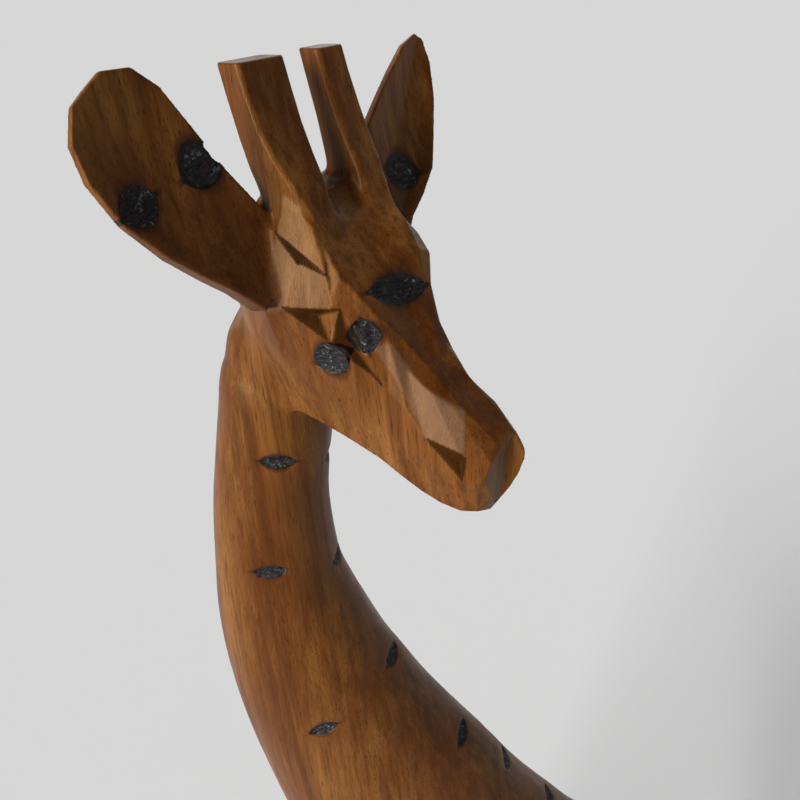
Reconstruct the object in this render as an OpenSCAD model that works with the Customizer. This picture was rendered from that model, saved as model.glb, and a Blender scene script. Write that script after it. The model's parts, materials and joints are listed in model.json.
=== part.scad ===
// Giraffe carved from one block of hardwood, standing, looking back over its left shoulder.
// Millimetres, +Z up. The body faces -Y and the giraffe's left side is +X.
// The origin is on the floor under the middle of the whole carving.
// Neighbouring parts of the block meet face to face, without overlap.

/* [Body] */
// Length of the torso from chest to rump
body_l = 276; // [250:2:300]
// Width of the torso at the shoulders
body_w = 92; // [84:1:100]
// Distance between the middles of the left and right feet
feet_gap = 50; // [46:1:56]
// Height at which the legs meet the torso
leg_h = 250; // [238:1:250]

/* [Neck] */
// Height from the foot of the neck to the jaw
neck_h = 260; // [235:1:285]
// Width of the neck just under the jaw
neck_w = 42; // [38:1:46]

/* [Head] */
// How far the head is turned from straight ahead over the left shoulder
head_turn = 137; // [125:1:145]
// How far the nose points below level
head_dip = 17.6; // [10:0.2:24]
// Length of the head from the back of the skull to the lips
head_l = 116; // [108:1:122]
// Length of an ear
ear_l = 83; // [76:1:88]
// Height of the horns above the skull
horn_h = 44; // [34:1:50]

/* [Burnt marks] */
// Length of a scorched mark on the neck and body
mark_l = 15; // [12:0.5:18]
// Width of a scorched mark
mark_w = 5.6; // [4:0.2:7]
// Depth of the scorched wood
mark_depth = 1.6; // [1:0.1:2.2]

/* [Smoothness] */
// Points around the neck and torso
trunk_sides = 32; // [16:4:40]
// Steps between two outline stations
steps = 3; // [2:1:4]

/* [Hidden] */
wood = "#8a5228";
char = "#231a17";

// Side outline of the torso from the rump to the foot of the neck.
// Each station is [underside y, underside z, topside y, topside z, half width].
body_outline = [
    [249, 288, 249, 300, 9],
    [246, 270, 246, 318, 27],
    [236, 260, 236, 333, 37],
    [214, 256, 215, 343, 42],
    [182, 255, 188, 350, 43],
    [146, 254, 162, 360, 42],
    [104, 252, 140, 376, 42],
    [56, 252, 122, 400, 44],
    [12, 264, 107, 420, 46],
    [-14, 298, 96, 437, 45],
    [-23, 340, 85, 456, 42]
];
body_scale = [body_l / 276, 1, body_l / 276, 1, body_w / 92];
// How far the rump, the rear legs and the tail move when the torso gets longer
rear_shift = 249 * (body_l / 276 - 1);

// Side outline of the neck, in the same form, with heights from the foot of the neck
neck_outline = [
    [-25, -27, 74, 68, 39],
    [-27, 13, 63, 85, 36.5],
    [-33, 51, 53, 102, 34],
    [-38, 84, 44, 120, 32],
    [-41, 113, 36, 136, 29.5],
    [-42, 141, 28, 157, 27.5],
    [-41, 167, 22, 174, 25.5],
    [-38, 190, 18, 190, 24],
    [-33, 223, 17, 221, 22],
    [-27, 250, 20, 243, 21],
    [-22, 271, 23, 259, 21],
    [-18, 289, 24, 275, 21]
];
// The neck's last stretch, inside the head
collar_outline = [[-13, 303, 27, 289, 20], [-5, 318, 28, 305, 15]];
neck_scale = [1, neck_h / 260, 1, neck_h / 260, neck_w / 42];
neck_foot = [0, 405, 0, 405, 0];

leg_scale = [leg_h / 250, 1, 1, 1];
// Legs from the sole up: [height, middle y, half length, half width]
front_leg_outline = [
    [0, 8, 17.5, 14.5],
    [7, 8, 17.5, 14.5],
    [20, 10, 13.5, 12],
    [38, 12, 11, 11],
    [90, 12, 11.5, 11],
    [128, 11, 14, 12.5],
    [158, 12, 13, 12],
    [205, 13, 15.5, 14],
    [250, 15, 20.5, 17]
];
rear_leg_outline = [
    [0, 222, 17.5, 14.5],
    [7, 222, 17.5, 14.5],
    [20, 225, 13.5, 12],
    [38, 228, 11, 11],
    [84, 232, 12, 11],
    [118, 234, 15, 12.5],
    [150, 230, 16, 13],
    [200, 223, 21, 15],
    [250, 217, 28, 17.5]
];
// Shoulder and haunch, the tops of the legs inside the torso, in the same form
shoulder_outline = [
    [250, 15, 20.5, 17],
    [280, 18, 27, 20],
    [312, 24, 30, 21],
    [345, 34, 26, 18.5],
    [370, 42, 14, 10],
    [382, 46, 6, 4]
];
haunch_outline = [
    [250, 217, 28, 17.5],
    [275, 211, 32, 19.5],
    [300, 204, 28, 18],
    [316, 199, 20, 12],
    [326, 196, 10, 5]
];

// Tail from its tip up to the rump, in the same form
tail_outline = [
    [180, 250, 2, 2.5],
    [196, 251, 6, 6.5],
    [216, 252, 6.5, 7],
    [236, 253, 4.5, 5],
    [270, 254, 4.5, 5],
    [296, 251, 6, 5.5],
    [312, 246, 8, 6]
];

// Head sections from the skull to the lips: [forward, half of the section].
// A section's points are [sideways, up] from the top middle to the bottom middle.
head_outline = [
    [-14, [[0, 10], [9, 8], [15, -3], [15, -14], [10, -24], [0, -27]]],
    [-4, [[0, 19], [14, 16], [23, 4], [22, -14], [16, -33], [0, -38]]],
    [10, [[0, 20], [16, 17], [27, 5], [27, -14], [20, -44], [0, -52]]],
    [26, [[0, 12], [18, 14], [27, 3], [27, -14], [20, -50], [0, -61]]],
    [42, [[0, -1], [17, 5], [22, -5], [25, -18], [18, -53], [0, -66]]],
    [60, [[0, -14], [9, -13], [15, -22], [18, -34], [14, -58], [0, -70]]],
    [80, [[0, -23], [8, -22], [14, -30], [15, -41], [12, -62], [0, -71]]],
    [95, [[0, -29], [7, -28], [12, -36], [13, -47], [9, -63], [0, -69]]],
    [103, [[0, -36], [6, -36], [9, -42], [9, -50], [7, -58], [0, -61]]]
];
head_scale = head_l / 116;
// Top of the skull between the ears
poll = [3.5, 22, neck_foot[1] + neck_h + 79];

// Ear blades: [distance along, lower edge, upper edge, thickness, hollow of the front face].
// The right ear is a broad paddle and the left one runs to a point.
right_ear_outline = [
    [-10, 17, -12, 16, 0],
    [6, 19, -11, 13, 1],
    [20, 22, -11, 10, 2.5],
    [35, 25, -13, 8, 3.5],
    [49, 24, -15, 7, 3.5],
    [60, 19, -15, 6, 2.5],
    [66, 14, -9, 5, 1.5],
    [69, 7, -1, 4, 1]
];
left_ear_outline = [
    [-10, 14, -12, 16, 0],
    [6, 18, -15, 14, 2],
    [20, 22, -14, 12, 4],
    [34, 20, -11, 9, 4],
    [48, 17, -7, 7, 3],
    [60, 12, -3, 5, 2],
    [67, 5, 1, 3, 0.5]
];
ear_root = [8, -30, 5];
ear_along = [-0.41, -0.545, 0.731];
ear_front = [0.857, 0.043, 0.513];

// Horn: [distance up, half size front to back, share of the sideways size, shift forward]
horn_outline = [
    [-10, 13, 1.15, 4],
    [2, 9.5, 1.05, 2],
    [12, 7, 1, 0.5],
    [24, 5.6, 1, 0],
    [60, 5.2, 1, 0]
];
horn_foot = [5, 18];
horn_lean = 31;
// Each horn's middle and half width sideways
left_horn = [16, 5.5];
right_horn = [-14, 9.5];

// Scorched marks on the neck: [station of the outline from the rump, angle from the topside]
neck_marks = [
    for (side = [-1, 1])
        each [[20.3, side * 82], [18.3, side * 90], [14.4, side * 88], [12, side * 90]],
    [20, 2], [18, 6], [14.8, 14], [11.4, 14]
];
// Scorched marks on the torso, in the same form
torso_marks = [
    for (side = [-1, 1])
        each [[9, side * 62], [7.5, side * 80], [6.5, side * 48], [5.3, side * 85],
              [4.4, side * 50], [2.6, side * 58]],
    [9.4, 0], [7.3, 0], [5, 0], [3, 0]
];
// Scorched marks on the outside of each leg: [station of the leg's outline, size]
leg_marks = [[7.2, 0.9], [5.6, 0.7]];
// Scorched marks of the head: [place, way out of the wood, way along the mark, length, width]
head_marks = [
    [[43, 0, -2], [0.42, 0, 0.91], [0, 1, 0], 19, 10],
    for (side = [-1, 1])
        each [[[42, side * 25, -22], [0.05, side * 0.99, 0.05], [0.9, 0, -0.4], 15, 10],
              [[49, side * 19, -10], [0.25, side * 0.85, 0.45], [0.9, 0, -0.45], 12, 9]]
];
// Scorched marks on the front of each ear: [along, across, length, width]
right_ear_marks = [[31, -8, 16, 11], [39, 17, 14, 10]];
left_ear_marks = [[16, 8, 16, 11]];

// Level top of the block, where the horns are sawn off flat
block_top = poll[2] + 14 + horn_h;
// Middle of the whole carving, seen from above
middle = [9.15, (258.5 - 42 + rear_shift) / 2, 0];

// Smooth curve from station b to station c at the share t, with a and d beyond them
function between(a, b, c, d, t) =
    0.5 * (2 * b + (c - a) * t + (2 * a - 5 * b + 4 * c - d) * t * t
    + (3 * b - a - 3 * c + d) * t * t * t);

// All stations of an outline with smooth steps added between them
function smooth(rows) = [
    for (i = [0:len(rows) - 2]) for (k = [0:steps - 1])
        between(rows[max(i - 1, 0)], rows[i], rows[i + 1], rows[min(i + 2, len(rows) - 1)], k / steps),
    rows[len(rows) - 1]
];

function scaled(rows, size) = [for (r = rows) [for (i = [0:len(r) - 1]) r[i] * size[i]]];
function moved(rows, way) = [for (r = rows) r + way];
function stretch_of(rows, first, last) = [for (i = [first:last]) rows[i]];
function turned(p, along, front) = p[0] * along + p[1] * cross(front, along) + p[2] * front;

function unit(v) = v / norm(v);

// Oval ring of the torso or neck through its underside and topside points
function trunk_ring(s) =
    let (centre = [0, (s[0] + s[2]) / 2, (s[1] + s[3]) / 2],
         up = half_up(s))
    [for (i = [0:trunk_sides - 1])
        let (a = 360 * i / trunk_sides)
        centre + up * cos(a) + [s[4] * sin(a), 0, 0]];

// Oval ring of a leg or the tail at the sideways place x
function level_ring(s, x) =
    [for (a = [0:22.5:359]) [x + s[3] * sin(a), s[1] + s[2] * cos(a), s[0]]];

// Faceted ring of the head
function head_ring(s) =
    let (half = s[1], last = len(half) - 1)
    [for (i = [0:last]) head_scale * [s[0], half[i][0], half[i][1]],
     for (i = [last - 1:-1:1]) head_scale * [s[0], -half[i][0], half[i][1]]];

// Flat ring of an ear with a hollow front and a rounded back
function ear_ring(s) =
    let (low = s[1], high = s[2], mid = (low + high) / 2, t = s[3] / 2)
    [for (p = [[low, -1], [(low + mid) / 2, -t], [mid, -1.15 * t], [(high + mid) / 2, -t],
               [high, -1], [high, 1], [(high + mid) / 2, t - s[4]],
               [mid, t - 1.3 * s[4]], [(low + mid) / 2, t - s[4]], [low, 1]])
        head_scale * ear_root + turned([s[0] * ear_l / 83, p[0], p[1]], ear_along, ear_front)];

// Square ring of a horn with cut corners
function horn_ring(s, half) =
    let (a = s[1], b = s[2] * half, c = 1.5)
    [for (p = [[a, c - b], [a - c, -b], [c - a, -b], [-a, c - b],
               [-a, b - c], [c - a, b], [a - c, b], [a, b - c]])
        [p[0] + s[3], p[1], s[0]]];

trunk_rows = concat(scaled(body_outline, body_scale),
    moved(scaled(concat(neck_outline, collar_outline), neck_scale), neck_foot));
trunk_rings = [for (s = smooth(trunk_rows)) trunk_ring(s)];
front_leg_rows = scaled(front_leg_outline, leg_scale);
rear_leg_rows = moved(scaled(rear_leg_outline, leg_scale), [0, rear_shift, 0, 0]);
shoulder_rows = moved(shoulder_outline, [leg_h - 250, 0, 0, 0]);
haunch_rows = moved(haunch_outline, [leg_h - 250, rear_shift, 0, 0]);
tail_rows = moved(tail_outline, [0, rear_shift, 0, 0]);
neck_joint = (len(body_outline) - 1) * steps;
head_joint = (len(body_outline) + len(neck_outline) - 1) * steps;
ear_joint = steps;
horn_joint = steps;

// Half height of the trunk's section, as a vector from its middle to its topside
function half_up(s) = [0, (s[2] - s[0]) / 2, (s[3] - s[1]) / 2];

// Closed solid through rings that all have the same number of points
module loft(rings) {
    n = len(rings[0]);
    last = len(rings) - 1;
    skin = [for (j = [0:last - 1]) for (i = [0:n - 1])
        let (a = j * n + i, b = j * n + (i + 1) % n)
        each [[a, b, b + n], [a, b + n, a + n]]];
    caps = [[for (i = [n - 1:-1:0]) i], [for (i = [0:n - 1]) last * n + i]];
    polyhedron([for (r = rings) each r], concat(skin, caps));
}

// Places its children in the head's own axes: X forward, Y to its left, Z up
module at_head() {
    translate(poll) rotate([0, head_dip, head_turn - 90]) children();
}

// Cuts off whatever stands above the block
module under_block_top() {
    intersection() {
        children();
        translate([-200, -200, 0]) cube([400, 400, block_top]);
    }
}

// Rings of an ear in the right ear's place, side is 1 for left and -1 for right
function ear_rings(side) =
    [for (s = smooth(side > 0 ? left_ear_outline : right_ear_outline)) ear_ring(s)];

module at_ear(side) {
    at_head() mirror([0, max(side, 0), 0]) children();
}

// Stretch of a horn from ring first to ring last
module horn_stretch(horn, first, last) {
    rings = [for (s = smooth(horn_outline)) horn_ring(s, horn[1])];
    translate(head_scale * [horn_foot[0], horn[0], horn_foot[1]])
        rotate([0, -horn_lean, 0])
        loft(stretch_of(rings, first, last));
}

// Leaf-shaped prism that stands in the wood by the mark's depth
module mark(place, out, along, length, width) {
    across = cross(out, along);
    leaf = [for (a = [0:30:359]) [length / 2 * cos(a), width / 2 * sin(a) * abs(sin(a))]];
    multmatrix([
        [along[0], across[0], out[0], place[0]],
        [along[1], across[1], out[1], place[1]],
        [along[2], across[2], out[2], place[2]]
    ])
        translate([0, 0, -mark_depth])
        linear_extrude(mark_depth + 5) polygon(leaf);
}

module trunk_mark(m) {
    s = smooth(trunk_rows)[round(m[0] * steps)];
    up = half_up(s);
    centre = [0, (s[0] + s[2]) / 2, (s[1] + s[3]) / 2];
    place = centre + up * cos(m[1]) + [s[4] * sin(m[1]), 0, 0];
    out = unit(up * cos(m[1]) / (up * up) + [sin(m[1]) / s[4], 0, 0]);
    along = unit([s[4] * cos(m[1]), 0, 0] - up * sin(m[1]));
    mark(place, out, along, mark_l, mark_w);
}

module trunk_marks(list) {
    for (m = list) trunk_mark(m);
}

module marks_on_head() {
    at_head() for (m = head_marks) mark(head_scale * m[0], unit(m[1]), unit(m[2]), m[3], m[4]);
}

module marks_on_ear(side) {
    list = side > 0 ? left_ear_marks : right_ear_marks;
    at_ear(side) for (m = list)
        mark(head_scale * ear_root + turned([m[0] * ear_l / 83, m[1], 0], ear_along, ear_front),
            ear_front, unit(turned([0.25, 1, 0], ear_along, ear_front)), m[2], m[3]);
}

module marks_on_leg(outline, side) {
    for (m = leg_marks) {
        s = smooth(outline)[round(m[0] * steps)];
        mark([side * (feet_gap / 2 + s[3]), s[1], s[0]], [side, 0, 0], [0, 1, 0],
            m[1] * mark_l, mark_w);
    }
}

module head_block() {
    at_head() loft([for (s = head_outline) head_ring(s)]);
    loft(stretch_of(trunk_rings, head_joint, len(trunk_rings) - 1));
    for (side = [-1, 1]) at_ear(side) loft(stretch_of(ear_rings(side), 0, ear_joint));
    at_head() horn_stretch(left_horn, 0, horn_joint);
    at_head() horn_stretch(right_horn, 0, horn_joint);
}

module head() {
    color(wood) difference() {
        head_block();
        marks_on_head();
    }
}

module ear_blade(side) {
    rings = ear_rings(side);
    at_ear(side) loft(stretch_of(rings, ear_joint, len(rings) - 1));
}

module ear(side) {
    color(wood) difference() {
        ear_blade(side);
        marks_on_ear(side);
        head_block();
    }
}

module horn(place) {
    color(wood) difference() {
        under_block_top() at_head()
            horn_stretch(place, horn_joint, (len(horn_outline) - 1) * steps);
        head_block();
    }
}

module neck_block() {
    loft(stretch_of(trunk_rings, neck_joint, head_joint));
}

module neck() {
    color(wood) difference() {
        neck_block();
        trunk_marks(neck_marks);
    }
}

// Leg or leg top on one side, side is 1 for left and -1 for right
module leg_loft(outline, side) {
    loft([for (s = smooth(outline)) level_ring(s, side * feet_gap / 2)]);
}

module torso_block() {
    loft(stretch_of(trunk_rings, 0, neck_joint));
    for (side = [-1, 1]) {
        leg_loft(shoulder_rows, side);
        leg_loft(haunch_rows, side);
    }
}

module torso() {
    color(wood) difference() {
        torso_block();
        trunk_marks(torso_marks);
    }
}

module leg(outline, side) {
    color(wood) difference() {
        leg_loft(outline, side);
        marks_on_leg(outline, side);
    }
}

module tail() {
    color(wood) difference() {
        loft([for (s = smooth(tail_rows)) level_ring(s, 0)]);
        torso_block();
    }
}

module burn_marks_head() {
    color(char) intersection() {
        head_block();
        marks_on_head();
    }
}

module burn_marks_ears() {
    for (side = [-1, 1]) color(char) intersection() {
        ear_blade(side);
        marks_on_ear(side);
    }
}

module burn_marks_neck() {
    color(char) intersection() {
        neck_block();
        trunk_marks(neck_marks);
    }
}

module burn_marks_torso() {
    color(char) intersection() {
        torso_block();
        trunk_marks(torso_marks);
    }
}

module burn_marks_legs() {
    for (outline = [front_leg_rows, rear_leg_rows]) for (side = [-1, 1])
        color(char) intersection() {
            leg_loft(outline, side);
            marks_on_leg(outline, side);
        }
}

module placed() {
    translate(-middle) children();
}

placed() head();
placed() ear(1);  // ear_left
placed() ear(-1);  // ear_right
placed() horn(left_horn);  // horn_left
placed() horn(right_horn);  // horn_right
placed() neck();
placed() torso();
placed() leg(front_leg_rows, 1);  // leg_front_left
placed() leg(front_leg_rows, -1);  // leg_front_right
placed() leg(rear_leg_rows, 1);  // leg_rear_left
placed() leg(rear_leg_rows, -1);  // leg_rear_right
placed() tail();
placed() burn_marks_head();
placed() burn_marks_ears();
placed() burn_marks_neck();
placed() burn_marks_torso();
placed() burn_marks_legs();
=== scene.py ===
"""Carved wooden giraffe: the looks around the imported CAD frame.

The whole statue is one block of wood, so every piece is cut out of two distance fields:
the trunk's, made from the CAD nodes, and the head's, made from its carved facets.
Lengths are millimetres in the CAD frame until a mesh is written, in metres.
"""

import json
import math

import bpy
import numpy as np
import openvdb as vdb
from mathutils import Matrix, Vector

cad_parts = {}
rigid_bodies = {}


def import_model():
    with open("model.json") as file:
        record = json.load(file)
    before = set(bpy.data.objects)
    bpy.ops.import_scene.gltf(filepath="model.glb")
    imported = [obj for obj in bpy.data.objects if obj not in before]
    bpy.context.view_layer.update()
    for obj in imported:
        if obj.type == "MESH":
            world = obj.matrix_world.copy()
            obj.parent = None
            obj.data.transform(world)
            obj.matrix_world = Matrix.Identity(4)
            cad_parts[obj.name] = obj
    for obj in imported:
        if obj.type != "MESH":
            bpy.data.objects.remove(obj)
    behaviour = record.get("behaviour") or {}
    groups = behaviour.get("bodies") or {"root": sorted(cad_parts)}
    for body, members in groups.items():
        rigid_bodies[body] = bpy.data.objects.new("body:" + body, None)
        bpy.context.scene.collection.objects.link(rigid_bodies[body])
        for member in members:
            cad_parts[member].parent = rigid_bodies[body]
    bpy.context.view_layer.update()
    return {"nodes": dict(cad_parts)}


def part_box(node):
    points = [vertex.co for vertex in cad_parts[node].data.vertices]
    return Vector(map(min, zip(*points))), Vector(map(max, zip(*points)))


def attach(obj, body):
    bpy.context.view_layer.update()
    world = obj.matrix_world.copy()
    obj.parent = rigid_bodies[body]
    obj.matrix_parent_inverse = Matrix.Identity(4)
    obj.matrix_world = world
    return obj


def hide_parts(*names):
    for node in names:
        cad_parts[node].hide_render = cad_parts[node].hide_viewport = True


for old in list(bpy.data.objects):
    bpy.data.objects.remove(old)

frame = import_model()
MM = 0.001

# ---------------- places taken from the frame


def node_box(*names):
    """Lowest and highest corner of CAD nodes together, in millimetres."""
    boxes = [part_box(n) for n in names]
    low = np.min([np.array(b[0]) for b in boxes], axis=0) / MM
    high = np.max([np.array(b[1]) for b in boxes], axis=0) / MM
    return low, high


neck_low, neck_high = node_box("neck")
statue_low, statue_high = node_box(*frame["nodes"])
MID_X = (neck_low[0] + neck_high[0]) / 2
SOLE_Z = statue_low[2]
HORN_TOP = node_box("horn_left", "horn_right")[1][2]

# Head axes: the middle of the skull between the ears, and the ways forward, left and up.
POLL = np.array([MID_X + 3.5, neck_low[1] + 64, HORN_TOP - 58])
TURN = math.radians(47)
DIP = math.radians(17.6)
FORWARD = np.array(
    [math.cos(TURN) * math.cos(DIP), math.sin(TURN) * math.cos(DIP), -math.sin(DIP)]
)
LEFT = np.array([-math.sin(TURN), math.cos(TURN), 0.0])
UP = np.cross(FORWARD, LEFT)
HEAD_AXES = np.stack([FORWARD, LEFT, UP])


def from_head(points):
    """Points of the CAD frame, from places in head axes."""
    return POLL + np.asarray(points, float) @ HEAD_AXES


def to_head(points):
    """Places in head axes, from points of the CAD frame."""
    return (np.asarray(points, float) - POLL) @ HEAD_AXES.T


# ---------------- the carving's outlines

# Facets of the head from the skull to the lips, as [forward, left, up].  Each row goes from the
# top middle down the right side to the middle of the underside.
HEAD_RIGHT = [
    [(-14, 0, 10), (-14, -9, 8), (-14, -15, -3), (-15, -16, -14), (-14, -14, -19),
     (-14, -10, -24), (-14, 0, -27)],
    [(-4, 0, 18), (-4, -16, 17), (-3, -24, 13), (-2, -29, -8), (-5, -25, -24),
     (-6, -20, -36), (-6, 0, -40)],
    [(10, 0, 20), (9, -21, 21), (11.5, -25, 12), (17.5, -33, -12.5), (6, -27.5, -34),
     (10, -25, -50), (10, 0, -56)],
    [(22, 0, 14.5), (21, -18.5, 17), (21, -23.6, 8.8), (23, -30.4, -9), (22, -27.5, -32),
     (22, -20, -59), (24, 0, -63)],
    [(31, -1, 9), (25, -18, 13), (32, -21.5, 5.8), (33, -27, -12), (33, -25, -36),
     (36, -18.5, -57.5), (37, 0, -64)],
    [(40, 1, 3.5), (35.5, -19, 6), (36.5, -24, -3.2), (44, -23.8, -17), (45, -22.4, -38),
     (49, -17, -57.3), (50, 0, -65)],
    [(48.5, 1.7, -5.5), (46.5, -15.3, -1.3), (45, -20.5, -7.5), (54, -18.8, -21),
     (57, -18.3, -40), (61, -15.2, -58), (62, 0, -66)],
    [(56, -0.2, -11.2), (56, -8.8, -10), (53, -13.5, -8.5), (60.5, -17, -26),
     (66, -17, -42), (71.5, -14.2, -59.8), (72, 0, -67)],
    [(67, 1.5, -17.2), (66, -5.5, -16.8), (62.5, -11.7, -17.8), (70, -16.4, -30),
     (76, -16, -44), (80, -13, -61.2), (80, 0, -68)],
    [(77, 4.5, -21.3), (76.5, -6, -21), (73.5, -10.6, -21.5), (78.5, -15.8, -36),
     (86, -15, -45), (88, -11.5, -61.8), (89, 0, -68.5)],
    [(84, 4, -24), (84.3, -6, -24), (82.5, -8, -24), (91.5, -13.2, -36), (94, -13.6, -44),
     (95.5, -10.5, -60.2), (96, 0, -66)],
    [(92, 4.5, -27.8), (90.5, 0.8, -27), (95.5, -3.2, -30), (99, -8, -34.5),
     (98.5, -12, -43), (100.5, -7.5, -58.5), (101.5, 0, -62)],
    [(98, 5.5, -30.5), (91.5, 1.3, -27.6), (96.8, -2.9, -30.8), (99.7, -7.8, -34.8),
     (100.6, -10, -41), (102.8, -4.5, -51.5), (103.5, 0, -54.5)],
]
# Corners of the left side that don't mirror the right side: {(row, place in the row): corner}
HEAD_LEFT = {
    (4, 1): (30, 17, 13.5), (4, 2): (33, 22.5, 7.5), (5, 1): (39.5, 15.5, 6.8),
    (5, 2): (40.5, 20.5, 4.5), (6, 1): (48, 9.5, -3), (6, 2): (47, 15, -2.3),
    (7, 1): (54, 8, -8.3), (7, 2): (56.5, 10.4, -10.5), (8, 1): (62, 7.2, -14.2),
    (8, 2): (66, 9, -17.3), (9, 1): (73, 6, -19.3), (9, 2): (76, 6.5, -21.5),
    (10, 1): (85, 6, -24.3), (10, 2): (87, 8.5, -26), (11, 1): (94, 6.5, -28.5),
    (11, 2): (97.5, 9, -32.5), (11, 3): (100.5, 10.5, -40), (12, 1): (99.5, 6.8, -31.5),
    (12, 2): (103, 8, -36), (12, 3): (104.6, 7, -38.8), (12, 4): (104.8, 6, -44),
    (12, 5): (104.3, 3.5, -50),
}

# Horns from the skull up: [height, half depth, inner side, outer side, shift forward]
HORN_FOOT = (5, 18)
HORN_LEAN = math.radians(31)
HORN_BEVEL = 1.2
RIGHT_HORN = [
    (-14, 9, -7, -16, 2), (-4, 9.5, -6.5, -18.5, 2.6), (4, 8.6, -5.6, -20.5, 2.2),
    (12, 7.2, -4.8, -22, 1.2), (22, 5.9, -4, -22.8, 0.3), (34, 5.4, -3.6, -23, 0),
    (64, 5.2, -3.6, -22.6, 0),
]
LEFT_HORN = [
    (-14, 9, 10, 18, 2), (-4, 9, 10, 21, 2.4), (4, 8, 10.4, 22.5, 2), (12, 6.6, 10.8, 23.4, 1),
    (22, 5.4, 11, 24, 0.3), (34, 5, 11, 23.6, 0), (64, 4.6, 11, 23.2, 0),
]

# Ears: [along, lower edge, upper edge, half thickness at the edge and in the middle, hollow]
EAR_ROOT = np.array([8.0, -30, 5])
EAR_ALONG = np.array([-0.41, -0.545, 0.731])
EAR_FRONT = np.array([0.857, 0.043, 0.513])
EAR_ACROSS = np.cross(EAR_FRONT, EAR_ALONG)
RIGHT_EAR = [
    (-12, 15, -12, 4, 8, 0), (0, 17, -12, 3.6, 7.5, 0.5), (10, 20, -11.5, 3.2, 6.8, 1.5),
    (24, 23.5, -12, 2.5, 5.8, 2.3), (40, 25, -14, 1.9, 5, 2.7), (54, 22.5, -15.5, 1.6, 4.2, 2.3),
    (63, 17.5, -13, 1.4, 3.2, 1.5), (68.5, 9, -5, 1.2, 2.1, 0.7),
]
LEFT_EAR = [
    (-12, 14, -12, 4, 8, 0), (0, 15, -14, 3.4, 7.2, 1.4), (10, 19, -15, 2.8, 6.6, 2.8),
    (22, 22, -14, 2.2, 6, 3.6), (34, 20, -11, 1.9, 5.4, 3.6), (48, 17, -7, 1.7, 4.4, 3),
    (60, 12, -3, 1.4, 3, 1.8), (67, 6, 2.2, 1.1, 1.6, 0.6),
]

# Neck inside the skull, above the neck's CAD node: [front y, drop of the front below the horns'
# tips, nape y, drop of the nape, half width]
COLLAR = [(-17.5, 112, 22.5, 126, 20), (-13, 96, 26, 110, 20), (-5, 84, 28, 97, 15)]
COLLAR_Y = neck_low[1] + 42
COLLAR_TOP = HORN_TOP - COLLAR[-1][1]

# ---------------- meshes as numbers


def loft(rings):
    """Corners and triangles of a closed solid through rings with the same number of points."""
    corners = np.array([p for ring in rings for p in ring], float)
    n = len(rings[0])
    last = (len(rings) - 1) * n
    faces = []
    for a0 in range(0, last, n):
        for j in range(n):
            a, b = a0 + j, a0 + (j + 1) % n
            faces += [(a, b, b + n), (a, b + n, a + n)]
    faces += [(0, j + 1, j) for j in range(1, n - 1)]
    faces += [(last, last + j, last + j + 1) for j in range(1, n - 1)]
    faces = np.array(faces)
    a, b, c = (corners[faces[:, k]] - corners.mean(0) for k in range(3))
    volume = np.einsum("ij,ij->", a, np.cross(b, c))
    return corners, faces[:, ::-1] if volume < 0 else faces


def head_solid():
    """Closed solid of the head's facets, without ears and horns."""
    rings = []
    for i, row in enumerate(HEAD_RIGHT):
        left = [HEAD_LEFT.get((i, j), (p[0], -p[1], p[2])) for j, p in enumerate(row)]
        rings.append(from_head(row + left[1:-1][::-1]))
    return loft(rings)


def horn_solid(rows):
    """Closed solid of a horn: flat sides with bevelled edges."""
    c, s = math.cos(HORN_LEAN), math.sin(HORN_LEAN)
    rings = []
    for height, a, inner, outer, shift in rows:
        flat = a - HORN_BEVEL
        k = math.copysign(HORN_BEVEL, outer - inner)
        section = [
            (a, inner + k), (flat, inner), (-flat, inner), (-a, inner + k),
            (-a, outer - k), (-flat, outer), (flat, outer), (a, outer - k),
        ]
        rings.append(
            from_head(
                [(HORN_FOOT[0] + (x + shift) * c - height * s, y,
                  HORN_FOOT[1] + (x + shift) * s + height * c) for x, y in section]
            )
        )
    return loft(rings)


def ear_frame(side):
    """Root, along, across and front of an ear, side is 1 for left and -1 for right."""
    flip = np.array([1, -side, 1])
    return [from_head(EAR_ROOT * flip)] + [
        (v * flip) @ HEAD_AXES for v in (EAR_ALONG, EAR_ACROSS, EAR_FRONT)
    ]


def ear_solid(rows, side):
    """Closed solid of an ear, a leaf with a hollow in front."""
    root, along, across, front = ear_frame(side)
    rings = []
    for s, low, high, edge, middle, hollow in rows:
        mid, half = (low + high) / 2, (edge + middle) / 2

        def at(share):
            return mid + share * ((low - mid) if share > 0 else (mid - high))

        section = [
            (at(1), -edge), (at(0.55), -half), (mid, -middle), (at(-0.55), -half),
            (at(-1), -edge), (at(-1), edge), (at(-0.6), edge - 0.45 * hollow),
            (mid, edge - hollow), (at(0.62), edge - 0.75 * hollow), (at(0.9), edge - 0.1 * hollow),
            (at(1), edge),
        ]
        rings.append([root + s * along + w * across + z * front for w, z in section])
    return loft(rings)


def collar_solid():
    """Closed solid of the neck's last stretch, an oval loft."""
    turns = np.linspace(0, 2 * math.pi, 64, endpoint=False)
    rings = []
    for y0, drop0, y1, drop1, half in COLLAR:
        middle = np.array([MID_X, COLLAR_Y + (y0 + y1) / 2, HORN_TOP - (drop0 + drop1) / 2])
        long = np.array([0, (y1 - y0) / 2, (drop0 - drop1) / 2])
        wide = np.array([half, 0, 0])
        rings.append([middle + long * math.cos(t) + wide * math.sin(t) for t in turns])
    return loft(rings)


def node_mesh(name):
    """Corners and triangles of a CAD node, in millimetres."""
    mesh = frame["nodes"][name].data
    corners = np.zeros(len(mesh.vertices) * 3)
    mesh.vertices.foreach_get("co", corners)
    mesh.calc_loop_triangles()
    faces = np.zeros(len(mesh.loop_triangles) * 3, np.int32)
    mesh.loop_triangles.foreach_get("vertices", faces)
    return corners.reshape(-1, 3) / MM, faces.reshape(-1, 3)


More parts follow.
